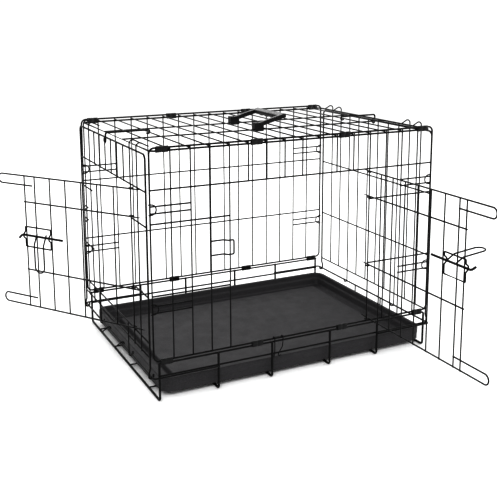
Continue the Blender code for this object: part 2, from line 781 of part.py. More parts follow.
def make_lock_hook(body):
    """A small hairpin draped over the front panel's bottom wire, with two hanging legs."""
    radius = wrap_radius(corner_reach(FRAME_WIRE), corner_reach(LOCK_WIRE, 6), 34)
    left = [(-0.0112, -0.0375), (-0.0091, -0.0239), (-0.0091, -0.0060)]
    right = [(0.0044, -0.0345), (0.0006, -0.0370), (-0.0014, -0.0320), (0.0076, -0.0180)]
    right.append((0.0091, -0.0060))
    over = arc((0, 0, 0), radius, 180, 10, 5, Y, Z)
    path = [Vector((x, -radius, z)) for x, z in left]
    path += [p + left[-1][0] * X for p in over]
    path += [p + right[-1][0] * X for p in reversed(over)]
    path += [Vector((x, -radius, z)) for x, z in reversed(right)]
    welded("fold_lock_hook", [[bent(path, LOCK_WIRE, Y, 6)]], "black_wire", body)


# Carry handle ----------------------------------------------------------------------------------------


def box_mesh(name, low, high, bevel=0.0):
    bm = bmesh.new()
    bmesh.ops.create_cube(bm, size=1)
    low, high = Vector(low), Vector(high)
    for v in bm.verts:
        v.co = Vector(((low[i] + high[i]) / 2 + v.co[i] * (high[i] - low[i]) for i in range(3)))
    if bevel:
        bmesh.ops.bevel(bm, geom=bm.edges[:], offset=bevel, segments=1, affect="EDGES")
    return finish_mesh(bm, name)


def pin_mesh(name, place, radius, length, sides=12):
    """A round bar along y."""
    bm = bmesh.new()
    bmesh.ops.create_cone(
        bm, cap_ends=True, segments=sides, radius1=radius, radius2=radius, depth=length
    )
    bmesh.ops.rotate(bm, verts=bm.verts, matrix=Matrix.Rotation(math.radians(90), 3, "X"))
    bmesh.ops.translate(bm, verts=bm.verts, vec=place)
    return finish_mesh(bm, name)


def make_handle_feet(root):
    """Moulded feet snapped over the roof's two long wires, with cheeks that hold the handle's pins."""
    for side, name in ((-1, "front_handle_foot"), (1, "back_handle_foot")):
        y = side * HANDLE_Y
        low = (PIVOT_X - 0.0150, y - 0.0085, ROOF_Z - 0.0030)
        high = (PIVOT_X + 0.0055, y + 0.0085, PIVOT_Z + 0.0042)
        foot = link(name, box_mesh(name, low, high, 0.0012), "black_plastic", root)
        wire = RAIL_WIRE / 2 + GAP
        channel = box_mesh(
            f"{name}_channel",
            (low[0] - 0.01, y - wire, low[2] - 0.01),
            (high[0] + 0.01, y + wire, ROOF_Z + wire),
        )
        slot = box_mesh(
            f"{name}_slot",
            (PIVOT_X - 0.0065, y - 0.0053, ROOF_Z + wire + 0.0016),
            (high[0] + 0.01, y + 0.0053, high[2] + 0.01),
        )
        pin = pin_mesh(f"{name}_bore", (PIVOT_X, y, PIVOT_Z), 0.0020 + GAP, 0.0150)
        for part, mesh in (("channel", channel), ("slot", slot), ("bore", pin)):
            join(foot, cutter(f"{name}_{part}", mesh, root), "DIFFERENCE")


def grip_section(width, depth, wave):
    """The grip's section across y: a rounded bar, deeper at each finger ridge."""
    top, bottom = depth / 2, -depth / 2 - wave
    half = width / 2
    return [
        (-half + 0.003, bottom),
        (half - 0.003, bottom),
        (half, bottom + 0.003),
        (half, top - 0.003),
        (half - 0.003, top),
        (-half + 0.003, top),
        (-half, top - 0.003),
        (-half, bottom + 0.003),
    ]


def make_handle(body):
    """A bail with two legs and a grip that has finger ridges underneath."""
    legs, pins = [], []
    grip_y = HANDLE_Y + 0.0050
    for side in (-1, 1):
        y = side * HANDLE_Y
        low, high = (-0.0048, y - 0.0050, -0.0044), (HANDLE_REACH, y + 0.0050, 0.0044)
        legs.append(box_mesh("leg", low, high, 0.0010))
        pins.append(pin_mesh("pin", (0, y, 0), 0.0020, 0.0145, 12))
    bm = bmesh.new()
    rings = []
    stations = 25
    for i in range(stations):
        t = i / (stations - 1)
        y = -grip_y + 2 * grip_y * t
        inside = max(0.0, 1 - abs(2 * t - 1) / 0.72)
        wave = 0.0016 * (0.5 - 0.5 * math.cos(10 * math.pi * t)) * min(1.0, inside * 6)
        ring = [
            bm.verts.new((HANDLE_REACH - 0.0050 + a, y, b)) for a, b in grip_section(0.0170, 0.0090, wave)
        ]
        rings.append(ring)
    for here, there in zip(rings, rings[1:]):
        for k in range(8):
            n = (k + 1) % 8
            bm.faces.new((here[k], here[n], there[n], there[k]))
    bm.faces.new(rings[0][::-1])
    bm.faces.new(rings[-1])
    handle = link("carry_handle", finish_mesh(bm, "carry_handle"), "black_plastic", body)
    for i, mesh in enumerate(legs + pins):
        join(handle, cutter(f"carry_handle_piece{i}", mesh, body))


def main():
    clear_scene()
    root = pivot("crate", (0, 0, 0))
    left_end = pivot("left_end_pivot", (-END_RAIL_X, 0, BASE_MID_RAIL), 0, root)
    right_end = pivot("right_end_pivot", (END_RAIL_X, 0, BASE_MID_RAIL), 0, root)
    make_base(root)
    make_long_panels(root)
    make_roof(root)
    end_panel(-1, True, left_end)
    end_panel(1, False, right_end)
    make_clips(root)
    make_doors(root, left_end)
    make_tray(pivot("tray_pivot", (0, 0, TRAY_BOTTOM), 0, root))
    make_tray_stop(pivot("tray_stop_pivot", (-END_RAIL_X, 0, BASE_MID_RAIL), 0, root))
    for side, name in ((-1, "left"), (1, "right")):
        place = (side * (HALF_LENGTH - LATCH_BAY * LONG_PITCH), 0, ROOF_Z + MESH_OFFSET)
        make_roof_latch(side, pivot(f"{name}_roof_latch_pivot", place, 0, root))
    make_lock_hook(pivot("fold_lock_hook_pivot", (-0.0510, -HALF_DEPTH, PANEL_BOTTOM), 0, root))
    make_handle_feet(root)
    handle = pivot("carry_handle_pivot", (PIVOT_X, 0, PIVOT_Z), 0, root)
    handle.rotation_euler.y = -math.radians(HANDLE_LIFT)
    make_handle(handle)


main()
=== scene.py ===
"""Looks for the folding wire dog crate: round welded wires, crimped clips, moulded tray and handle.

Metres, in the crate's own frame: x along its length, the front faces -y, the left end faces -x, z is up.
"""

import math

import bmesh
import bpy
from mathutils import Matrix, Vector
from mathutils.geometry import intersect_line_line


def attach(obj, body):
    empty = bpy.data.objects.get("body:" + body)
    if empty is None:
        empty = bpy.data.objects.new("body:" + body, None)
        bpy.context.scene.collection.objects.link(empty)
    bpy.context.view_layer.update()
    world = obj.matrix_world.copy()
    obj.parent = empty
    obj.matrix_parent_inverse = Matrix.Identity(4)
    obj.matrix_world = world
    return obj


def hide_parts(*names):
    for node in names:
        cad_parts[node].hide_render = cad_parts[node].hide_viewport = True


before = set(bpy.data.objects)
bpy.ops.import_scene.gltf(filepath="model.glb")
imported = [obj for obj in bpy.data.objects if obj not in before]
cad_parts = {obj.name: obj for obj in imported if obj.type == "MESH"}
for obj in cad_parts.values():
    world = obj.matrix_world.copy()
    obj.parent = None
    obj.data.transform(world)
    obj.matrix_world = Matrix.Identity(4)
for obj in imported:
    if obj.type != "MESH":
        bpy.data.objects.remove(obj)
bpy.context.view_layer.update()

X, Y, Z = Vector((1, 0, 0)), Vector((0, 1, 0)), Vector((0, 0, 1))

# Wire diameters.
FRAME_WIRE = 0.0036
RAIL_WIRE = 0.0030
MESH_WIRE = 0.0026
BASE_WIRE = 0.0045
ROD_WIRE = 0.0046
LOCK_WIRE = 0.0020
WELD = 0.0003
GAP = 0.0003
BEND_PLAY = 0.0006
NEARLY_STRAIGHT = 1.57
SHORTEST_WELDED_RUN = 0.0120
WELD_SLACK = 0.0004

# Long panels and roof.
HALF_LENGTH = 0.3090
HALF_DEPTH = 0.2225
BAYS_LONG = 16
BAYS_WIDE = 11
LONG_PITCH = 2 * HALF_LENGTH / BAYS_LONG
PANEL_BOTTOM = 0.0790
PANEL_TOP = 0.4750
HEADER = 0.3995
UPPER_RAIL = 0.3375
LOWER_RAIL = 0.2035
CORNER_RADIUS = 0.0100
MESH_OFFSET = (FRAME_WIRE + MESH_WIRE) / 2 - 2 * WELD
ROOF_Z = PANEL_TOP - 0.0060
ROOF_HALF_DEPTH = HALF_DEPTH - 0.0025
ROOF_HALF_LENGTH = 0.3050
ROOF_LONG_WIRES = 0.0590
CATCHES_Z = (0.3635, 0.1780)

# End panels.
END_X = 0.3140
END_HALF_WIDTH = 0.2160
END_TOP = 0.4632
WIDE_PITCH = 2 * END_HALF_WIDTH / BAYS_WIDE
END_MESH_X = END_X + MESH_OFFSET
RIGHT_RAILS = (0.3312, 0.1970, 0.0750)
LEFT_HEADER = 0.3955
LEFT_STRIP_RAILS = (0.3310, 0.2005)
LEFT_SILL = 0.1130
LEFT_LOWER_RAIL = 0.0850
J_BAYS = (3, 8)
HOOK_BAYS = (1, 2, BAYS_WIDE - 2, BAYS_WIDE - 1)
HOOK_FOOT = END_TOP + FRAME_WIRE / 2 + GAP
HOOK_CREST = 0.4835
HOOK_SLOPE = 28.0
HOOK_TIP = 0.0270
HOOK_BEND = 0.0070
CATCH_RADIUS = 0.0095
CATCH_BARS = 0.0065

# Base.
BASE_HALF_LENGTH = 0.3000
BASE_UPRIGHTS = (-BASE_HALF_LENGTH, -0.1810, -0.0660, 0.0660, 0.1810, BASE_HALF_LENGTH)
UPRIGHT_Y = HALF_DEPTH + (BASE_WIRE + FRAME_WIRE) / 2 - WELD
BASE_RAIL = PANEL_BOTTOM - 0.0060
BASE_MID_RAIL = 0.0485
END_RAIL_X = 0.3124
END_RAIL_Y = UPRIGHT_Y + (BASE_WIRE + FRAME_WIRE) / 2 - WELD
FLOOR_WIRES_Y = (-0.170, -0.055, 0.050, 0.160)
FLOOR_WIRE_Z = BASE_WIRE + RAIL_WIRE / 2 - WELD
STOP_LEGS_Y = (-0.0420, 0.0500)
POST_X = END_RAIL_X - (FRAME_WIRE + RAIL_WIRE) / 2 + WELD

# Tray.
TRAY_LEFT, TRAY_RIGHT = -0.2920, 0.3060
TRAY_HALF_WIDTH = 0.2165
TRAY_CORNER = 0.0240
TRAY_BOTTOM = FLOOR_WIRE_Z + RAIL_WIRE / 2 + GAP
TRAY_TOP = 0.0380
TRAY_FLOOR = 0.0185

# Doors. Positions along a door are measured from its hinge wire, and heights from the floor.
FRONT_BAYS = (4, 12)
LEFT_BAYS = (9, 2)
CURL = 0.0036
LOOP_HEIGHT = 0.0190
GUIDE_HEIGHT = 0.0410
KEEPER_HEIGHT = 0.0272
HANDLE_WIDTH = 0.0240
HANDLE_ROOT = 0.0170
HANDLE_LEAN = 25.0
HANDLE_LENGTH = 0.0570
FRONT_DOOR = {
    "name": "front_door",
    "open_by": 90.0,
    "opening": (FRONT_BAYS[1] - FRONT_BAYS[0]) * LONG_PITCH,
    "pitch": LONG_PITCH,
    "rails": (0.3935, 0.3420, 0.1990, 0.0845),
    "edge": 0.2890,
    "loop_tip": 0.3585,
    "guide_z": 0.2680,
    "keeper_z": 0.2805,
    "keeper_tip": 0.3060,
    "bolt_z": 0.2730,
    "bolt_span": (0.1940, 0.3015),
    "bolt_bend": (0.0115, 22.0),
    "handle_at": 0.2535,
    "handle_angle": 6.0,
    "handle_stub": 0.0,
}
LEFT_DOOR = {
    "name": "left_door",
    "open_by": 35.0,
    "opening": (LEFT_BAYS[0] - LEFT_BAYS[1]) * WIDE_PITCH,
    "pitch": WIDE_PITCH,
    "rails": (0.3890, 0.3360, 0.1955, 0.1185),
    "edge": 0.2623,
    "loop_tip": 0.3286,
    "guide_z": 0.2645,
    "keeper_z": 0.2765,
    "keeper_tip": 0.2750,
    "bolt_z": 0.2675,
    "bolt_span": (0.1650, 0.2705),
    "bolt_bend": (0.0100, -30.0),
    "handle_at": 0.2180,
    "handle_angle": -90.0,
    "handle_stub": 0.0055,
}

# Clips and carry handle.
CLIP_BAYS = (0.35, 5.20, 10.20, 15.07)
CLIP_LENGTH = 0.60 * LONG_PITCH
CLIP_INNER = 0.0023
CLIP_WALL = 0.0008
PIVOT_X = -0.0075
PIVOT_Z = 0.4797
HANDLE_REACH = 0.0580
HANDLE_LIFT = 15.0
LEG_HALF_WIDTH = 0.0050
LEG_HALF_DEPTH = 0.0044
HANDLE_Y = ROOF_LONG_WIRES
LATCH_X = HALF_LENGTH - 2 * LONG_PITCH

# Camera.
CAMERA_PLACE = Vector((-0.7822, -1.5821, 0.7078))
CAMERA_RIGHT = Vector((0.89734, -0.44134, -0.00342))
CAMERA_UP = Vector((0.08280, 0.16074, 0.98352))
CAMERA_LENS = 59.742
CAMERA_SHIFT_Y = -0.17
CONTRAST_GAMMA = 0.72


# Materials -------------------------------------------------------------------------------------------


class Finish:
    """A node material: Principled shader with noise-driven colour, roughness and bump."""

    def __init__(self, name):
        self.material = bpy.data.materials.new(name)
        self.material.use_nodes = True
        self.tree = self.material.node_tree
        self.shader = self.tree.nodes["Principled BSDF"]
        self.place = self.tree.nodes.new("ShaderNodeTexCoord").outputs["Object"]

    def constants(self, **values):
        for socket, value in values.items():
            self.shader.inputs[socket.replace("_", " ")].default_value = value
        return self

    def noise(self, scale, detail=4.0, roughness=0.55, distortion=0.0):
        node = self.tree.nodes.new("ShaderNodeTexNoise")
        node.inputs["Scale"].default_value = scale
        node.inputs["Detail"].default_value = detail
        node.inputs["Roughness"].default_value = roughness
        node.inputs["Distortion"].default_value = distortion
        self.tree.links.new(self.place, node.inputs["Vector"])
        return node.outputs["Fac"]

    def cells(self, scale):
        node = self.tree.nodes.new("ShaderNodeTexVoronoi")
        node.feature = "SMOOTH_F1"
        node.inputs["Scale"].default_value = scale
        node.inputs["Smoothness"].default_value = 0.6
        self.tree.links.new(self.place, node.inputs["Vector"])
        return node.outputs["Distance"]

    def ramp(self, source, *stops):
        """A colour ramp over stops of (position, colour or grey)."""
        node = self.tree.nodes.new("ShaderNodeValToRGB")
        elements = node.color_ramp.elements
        while len(elements) < len(stops):
            elements.new(0.5)
        for element, (position, value) in zip(elements, stops):
            element.position = position
            colour = value if isinstance(value, tuple) else (value, value, value)
            element.color = (*colour, 1)
        self.tree.links.new(source, node.inputs["Fac"])
        return node.outputs["Color"]

    def mix(self, share, first, second, blend="MIX"):
        node = self.tree.nodes.new("ShaderNodeMix")
        node.data_type = "RGBA"
        node.blend_type = blend
        values = {0: share, 6: first, 7: second}
        for index, value in values.items():
            socket = node.inputs[index]
            if isinstance(value, bpy.types.NodeSocket):
                self.tree.links.new(value, socket)
            else:
                socket.default_value = value
        return node.outputs[2]

    def colour(self, source):
        self.tree.links.new(source, self.shader.inputs["Base Color"])
        return self

    def roughness(self, source):
        self.tree.links.new(source, self.shader.inputs["Roughness"])
        return self

    def bump(self, *layers):
        """Bump layers of (height, distance in metres, strength), one on top of the other."""
        normal = None
        for height, distance, strength in layers:
            node = self.tree.nodes.new("ShaderNodeBump")
            node.inputs["Distance"].default_value = distance
            node.inputs["Strength"].default_value = strength
            self.tree.links.new(height, node.inputs["Height"])
            if normal:
                self.tree.links.new(normal, node.inputs["Normal"])
            normal = node.outputs["Normal"]
        self.tree.links.new(normal, self.shader.inputs["Normal"])
        return self


def make_finishes():
    finishes = {}

    # Black dip coating on drawn wire: satin, with a slight orange peel and rubbed patches.
    wire = Finish("wire_coating")
    wire.constants(Coat_Weight=0.02, Coat_Roughness=0.25, Specular_IOR_Level=0.12)
    wire.colour(
        wire.mix(
            wire.ramp(wire.noise(26, 3), (0.50, 0.0), (0.78, 0.50)),
            wire.ramp(
                wire.noise(140, 3), (0.30, (0.0022, 0.0022, 0.0024)), (0.72, (0.0048, 0.0048, 0.0051))
            ),
            (0.0090, 0.0088, 0.0086, 1),
        )
    )
    wire.roughness(wire.ramp(wire.noise(70, 5, 0.6), (0.28, 0.30), (0.72, 0.50)))
    wire.bump((wire.noise(900, 2), 0.00012, 0.35), (wire.noise(210, 3), 0.00020, 0.25))
    finishes["black_wire"] = wire.material

    # The clips' pressed strip has a thicker, smoother coat than the wires.
    steel = Finish("clip_coating")
    steel.constants(Coat_Weight=0.08, Coat_Roughness=0.20, Specular_IOR_Level=0.22)
    steel.colour(
        steel.ramp(
            steel.noise(180, 4), (0.3, (0.0020, 0.0020, 0.0022)), (0.75, (0.0055, 0.0055, 0.0058))
        )
    )
    steel.roughness(steel.ramp(steel.noise(120, 4), (0.3, 0.26), (0.7, 0.44)))
    steel.bump((steel.noise(650, 3), 0.00015, 0.30))
    finishes["black_steel"] = steel.material

    # The tray is vacuum-formed sheet with a pebbled face.
    tray = Finish("tray_sheet").constants(Specular_IOR_Level=0.18)
    tray.colour(
        tray.mix(
            tray.ramp(tray.noise(9, 4), (0.35, 0.0), (0.70, 0.30)),
            tray.ramp(
                tray.noise(520, 3), (0.30, (0.0260, 0.0252, 0.0268)), (0.72, (0.0450, 0.0438, 0.0462))
            ),
            tray.ramp(
                tray.noise(520, 3), (0.30, (0.0330, 0.0320, 0.0340)), (0.72, (0.0540, 0.0526, 0.0554))
            ),
        )
    )
    tray.roughness(tray.ramp(tray.noise(38, 4), (0.30, 0.50), (0.70, 0.62)))
    tray.bump((tray.cells(520), 0.00030, 0.55), (tray.noise(170, 4), 0.00030, 0.30))
    finishes["tray_plastic"] = tray.material

    # Moulded handle and feet, satin with a fine spark texture.
    grip = Finish("handle_plastic").constants(Specular_IOR_Level=0.22)
    grip.colour(
        grip.ramp(
            grip.noise(60, 4), (0.30, (0.0030, 0.0030, 0.0033)), (0.72, (0.0065, 0.0065, 0.0068))
        )
    )
    grip.roughness(grip.ramp(grip.noise(160, 4), (0.30, 0.34), (0.70, 0.46)))
    grip.bump((grip.noise(1400, 2), 0.00010, 0.40), (grip.noise(240, 3), 0.00015, 0.20))
    finishes["black_plastic"] = grip.material
    return finishes


FINISHES = make_finishes()


# Pieces ----------------------------------------------------------------------------------------------


def piece(node, body, bm, finish, bend=40):
    """Turns a bmesh into the piece that stands for a CAD node."""
    bmesh.ops.recalc_face_normals(bm, faces=bm.faces)
    mesh = bpy.data.meshes.new(f"{node}_detail")
    bm.to_mesh(mesh)
    bm.free()
    mesh.materials.append(FINISHES[finish])
    mesh.shade_smooth()
    mesh.set_sharp_from_angle(angle=math.radians(bend))
    made = bpy.data.objects.new(f"{node}_detail", mesh)
    bpy.context.scene.collection.objects.link(made)
    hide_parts(node)
    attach(made, body)
    return made


def bridge(bm, rings, capped=True):
    """Joins rings of vertices into a skin: with end caps, or back to the first ring."""
    pairs = zip(rings, rings[1:] if capped else [*rings[1:], rings[0]])
    count = len(rings[0])
    for here, there in pairs:
        for k in range(count):
            n = (k + 1) % count
            bm.faces.new((here[k], here[n], there[n], there[k]))
    if capped:
        bm.faces.new(rings[0][::-1])
        bm.faces.new(rings[-1])


def arc(centre, radius, start, end, steps, along, up):
    """Points of an arc in the plane of along and up, with its angles in degrees."""
    points = []
    for i in range(steps + 1):
        a = math.radians(start + (end - start) * i / steps)
        points.append(Vector(centre) + radius * (math.cos(a) * along + math.sin(a) * up))
    return points


def rounded(points, radius, steps=8, closed=False):
    """A polyline with each corner replaced by an arc."""
    points = [Vector(p) for p in points]
    count = len(points)
    made = []
    for i, corner in enumerate(points):
        if not closed and i in (0, count - 1):
            made.append(corner)
            continue
        before = (points[i - 1] - corner).normalized()
        after = (points[(i + 1) % count] - corner).normalized()
        half = before.angle(after) / 2
        if half > NEARLY_STRAIGHT:
            made.append(corner)
            continue
        back = radius / math.tan(half)
        middle = corner + (before + after).normalized() * (radius / math.sin(half))
        first, last = corner + before * back - middle, corner + after * back - middle
        turn = first.angle(last)
        for s in range(steps + 1):
            t = s / steps
            mix = (math.sin((1 - t) * turn) * first + math.sin(t * turn) * last) / math.sin(turn)
            made.append(middle + mix)
    return made


def wrap_radius(held, wrapped):
    """The radius of a bend that holds another wire, from the two wires' diameters."""
    return (held + wrapped) / 2 + BEND_PLAY


def corner_reach(diameter, sides=8):
    return diameter / 2 / math.cos(math.pi / sides)


def add_wire(bm, points, diameter, closed=False, sides=14):
    """A round wire along a polyline, mitred at its bends, with its cut ends slightly rounded."""
    points = [Vector(p) for p in points]
    radius = diameter / 2
    if not closed:
        lead, tail = (points[1] - points[0]).normalized(), (points[-2] - points[-1]).normalized()
        bite = 0.3 * radius
        points.insert(1, points[0] + bite * lead)
        points.insert(-1, points[-1] + bite * tail)
    count = len(points)
    runs = [(points[(i + 1) % count] - points[i]).normalized() for i in range(count)]
    side = runs[0].orthogonal().normalized()
    up = side.cross(runs[0])
    angles = [2 * math.pi * k / sides for k in range(sides)]
    section = [radius * (math.cos(a) * side + math.sin(a) * up) for a in angles]
    rings = []
    for i, point in enumerate(points):
        before = runs[i - 1] if closed or i > 0 else runs[0]
        after = runs[i] if closed or i < count - 1 else before
        if i > 0:
            turn = before.rotation_difference(after)
            section = [turn @ offset for offset in section]
        mitre = (before + after).normalized()
        slide = after / after.dot(mitre)
        size = 0.72 if not closed and i in (0, count - 1) else 1.0
        rings.append([bm.verts.new(point + size * (o - slide * o.dot(mitre))) for o in section])
    for i in range(count if closed else count - 1):
        here, there = rings[i], rings[(i + 1) % count]
        shift = 0
        if closed and i == count - 1:
            gaps = [(here[0].co - v.co).length for v in there]
            shift = gaps.index(min(gaps))
        for k in range(sides):
            n = (k + 1) % sides
            bm.faces.new((here[k], here[n], there[(n + shift) % sides], there[(k + shift) % sides]))
    if not closed:
        bm.faces.new(rings[0][::-1])
        bm.faces.new(rings[-1])


def long_runs(wire):
    points, diameter, closed = wire
    count = len(points)
    for i in range(count if closed else count - 1):
        a, b = Vector(points[i]), Vector(points[(i + 1) % count])
        if (b - a).length > SHORTEST_WELDED_RUN:
            yield a, b, diameter


def add_welds(bm, wires):
    """A small fused bead wherever two wires cross and press into each other."""
    runs = [list(long_runs(w)) for w in wires]
    for i, first in enumerate(runs):
        for second in runs[i + 1 :]:
            for a, b, d in first:
                for p, q, e in second:
                    found = intersect_line_line(a, b, p, q)
                    if found is None:
                        continue
                    near, far = found
                    apart = (near - far).length
                    if not 0.30 * (d + e) < apart < 0.52 * (d + e):
                        continue
                    if (near - a).length + (near - b).length > (b - a).length + 2 * WELD_SLACK:
                        continue
                    if (far - p).length + (far - q).length > (q - p).length + 2 * WELD_SLACK:
                        continue
                    size = 0.47 * min(d, e)
                    place = Matrix.Translation(near.lerp(far, d / (d + e)))
                    flat = (far - near).rotation_difference(Z).inverted().to_matrix().to_4x4()
                    shape = Matrix.Diagonal((1.12 * size, 1.12 * size, 0.86 * size, 1))
                    bmesh.ops.create_icosphere(bm, subdivisions=2, radius=1, matrix=place @ flat @ shape)


def wire_piece(node, body, wires, finish="black_wire", turn=None):
    """A node made of round wires, each (points, diameter, closed), moved by a matrix if one is given."""
    if turn is not None:
        wires = [([turn @ Vector(p) for p in points], d, closed) for points, d, closed in wires]
    bm = bmesh.new()
    for points, diameter, closed in wires:
        add_wire(bm, points, diameter, closed)
    add_welds(bm, wires)
    return piece(node, body, bm, finish, 50)


# Long panels and roof ----------------------------------------------------------------------------------


def bay_x(bay):
    """Where an upright stands along the crate, counted from the left."""
    return -HALF_LENGTH + bay * LONG_PITCH


def bay_y(bay):
    """Where an upright stands across an end panel, counted from the front."""
    return -END_HALF_WIDTH + bay * WIDE_PITCH


def keeper_wire(door, place, angle):
    """The loop that a slide bolt shoots into."""
    high = KEEPER_HEIGHT / 2
    foot = (MESH_WIRE + RAIL_WIRE) / 2 - WELD
    stand = foot + 0.0080
    tip = door["keeper_tip"]
    corners = [
        (door["opening"] + door["pitch"] + 0.0030, foot, high),
        (tip + 0.0185, foot, high),
        (tip + 0.0105, stand, high),
        (tip, stand, high),
        (tip, stand, -high),
        (tip + 0.0105, stand, -high),
        (tip + 0.0185, foot, -high),
        (door["opening"] + door["pitch"] + 0.0030, foot, -high),
    ]
    turn = Matrix.Translation(place + door["keeper_z"] * Z) @ Matrix.Rotation(angle, 4, "Z")
    return [turn @ p for p in rounded(corners, 0.0030, 5)], RAIL_WIRE, False


def front_hinge():
    return Vector((bay_x(FRONT_BAYS[1]), -HALF_DEPTH - MESH_OFFSET, 0)), math.radians(180)


def left_hinge():
    return Vector((-END_MESH_X, bay_y(LEFT_BAYS[1]), 0)), math.radians(90)


def long_panel(side, door_bays=None):
    y = side * HALF_DEPTH
    mesh_y = side * (HALF_DEPTH + MESH_OFFSET)
    low, high = PANEL_BOTTOM, PANEL_TOP
    corners = [
        (sx * HALF_LENGTH, y, z) for sx, z in ((-1, low), (1, low), (1, high), (-1, high))
    ]
    wires = [(rounded(corners, CORNER_RADIUS, 8, True), FRAME_WIRE, True)]
    for bay in range(1, BAYS_LONG):
        in_doorway = door_bays and door_bays[0] < bay < door_bays[1]
        bottom = HEADER if in_doorway else low
        x = bay_x(bay)
        wires.append((((x, mesh_y, bottom - WELD), (x, mesh_y, high + WELD)), MESH_WIRE, False))
    spans = [(-HALF_LENGTH, HALF_LENGTH)]
    if door_bays:
        wires.append((((-HALF_LENGTH, y, HEADER), (HALF_LENGTH, y, HEADER)), RAIL_WIRE, False))
        left, right = bay_x(door_bays[0]) + WELD, bay_x(door_bays[1]) - WELD
        spans = [(-HALF_LENGTH, left), (right, HALF_LENGTH)]
    for z in (UPPER_RAIL, LOWER_RAIL):
        for start, stop in spans:
            wires.append((((start, y, z), (stop, y, z)), RAIL_WIRE, False))
    wires += corner_catches(side)
    return wires


def corner_catches(side):
    """The short bars and the C-shaped loops near a long panel's corners."""
    wires = []
    y = side * HALF_DEPTH
    inner_y = side * (HALF_DEPTH - (RAIL_WIRE + MESH_WIRE) / 2 + WELD)
    for end in (-1, 1):
        for middle in CATCHES_Z:
            for z in (middle - CATCH_BARS, middle + CATCH_BARS):
                far = end * (HALF_LENGTH - 2 * LONG_PITCH - WELD)
                wires.append((((end * HALF_LENGTH, y, z), (far, y, z)), RAIL_WIRE, False))
            centre = (end * (HALF_LENGTH - 0.0030), inner_y, middle)
            curve = arc(centre, CATCH_RADIUS, 90, -90, 14, -end * X, Z)
            start = Vector((end * (HALF_LENGTH + 0.0022), inner_y, middle + CATCH_RADIUS))
            stop = Vector((end * (HALF_LENGTH + 0.0022), inner_y, middle - CATCH_RADIUS))
            wires.append(([start, *curve, stop], MESH_WIRE, False))
    return wires


def make_long_panels():
    wires = [*long_panel(-1, FRONT_BAYS), keeper_wire(FRONT_DOOR, *front_hinge())]
    wire_piece("front_panel", "crate", wires)
    wire_piece("back_panel", "crate", long_panel(1))


def make_roof():
    corners = [
        (sx * ROOF_HALF_LENGTH, sy * ROOF_HALF_DEPTH, ROOF_Z)
        for sx, sy in ((-1, -1), (1, -1), (1, 1), (-1, 1))
    ]
    wires = [(rounded(corners, CORNER_RADIUS, 8, True), FRAME_WIRE, True)]
    reach, z = ROOF_HALF_DEPTH + WELD, ROOF_Z + MESH_OFFSET
    for bay in range(1, BAYS_LONG):
        wires.append((((bay_x(bay), -reach, z), (bay_x(bay), reach, z)), MESH_WIRE, False))
    for y in (-ROOF_LONG_WIRES, ROOF_LONG_WIRES):
        ends = (-ROOF_HALF_LENGTH, y, ROOF_Z), (ROOF_HALF_LENGTH, y, ROOF_Z)
        wires.append((ends, RAIL_WIRE, False))
    wire_piece("roof_panel", "crate", wires)


# End panels --------------------------------------------------------------------------------------------


def j_hook(side, x, y):
    """A wire's lower end, bent in under the base's end rail and up again."""
    radius = x - END_RAIL_X
    curve = arc((side * END_RAIL_X, y, BASE_MID_RAIL), radius, 0, -180, 14, side * X, Z)
    return [*curve, curve[-1] + 0.0045 * Z]


def end_border(side):
    foot_x = END_RAIL_X + wrap_radius(FRAME_WIRE, FRAME_WIRE)
    edges = []
    for y in (-END_HALF_WIDTH, END_HALF_WIDTH):
        hook = j_hook(side, foot_x, y)
        edges.append([*reversed(hook), Vector((side * foot_x, y, 0.0560))])
        edges[-1].append(Vector((side * END_X, y, 0.0640)))
    tops = [Vector((side * END_X, y, END_TOP)) for y in (-END_HALF_WIDTH, END_HALF_WIDTH)]
    arch = rounded([edges[0][-1], *tops, edges[1][-1]], CORNER_RADIUS, 8)
    return [*edges[0][:-1], *arch, *reversed(edges[1][:-1])]


def end_panel(side, has_door, body):
    x, mesh_x = side * END_X, side * END_MESH_X
    low = LEFT_LOWER_RAIL if has_door else RIGHT_RAILS[-1]
    whole = (-END_HALF_WIDTH, END_HALF_WIDTH)
    spans = [(whole, z) for z in RIGHT_RAILS]
    if has_door:
        hinge_y, far_y = bay_y(LEFT_BAYS[1]), bay_y(LEFT_BAYS[0])
        strips = (whole[0], hinge_y + WELD), (far_y - WELD, whole[1])
        spans = [(whole, z) for z in (LEFT_HEADER, LEFT_SILL, LEFT_LOWER_RAIL)]
        spans += [(strip, z) for strip in strips for z in LEFT_STRIP_RAILS]
    wires = [(end_border(side), FRAME_WIRE, False)]
    for bay in range(1, BAYS_WIDE):
        y = bay_y(bay)
        in_doorway = has_door and LEFT_BAYS[1] < bay < LEFT_BAYS[0]
        top = Vector((mesh_x, y, HOOK_FOOT if bay in HOOK_BAYS else END_TOP + 0.0015))
        foot = Vector((mesh_x, y, (LEFT_HEADER if in_doorway else low) - WELD))
        if bay in J_BAYS:
            start = Vector((mesh_x, y, LEFT_SILL + WELD)) if has_door else top
            wires.append(([start, *j_hook(side, END_MESH_X, y)], MESH_WIRE, False))
        if has_door or bay not in J_BAYS:
            wires.append(((foot, top), MESH_WIRE, False))
    for (a, b), z in spans:
        wires.append((((x, a, z), (x, b, z)), RAIL_WIRE, False))
    if has_door:
        wires.append(keeper_wire(LEFT_DOOR, *left_hinge()))
    end = "right" if side > 0 else "left"
    wire_piece(f"{end}_end_panel", body, wires)
    for i, bay in enumerate(HOOK_BAYS, 1):
        make_top_hook(side, f"{end}_top_hook_{i}", bay_y(bay), body)


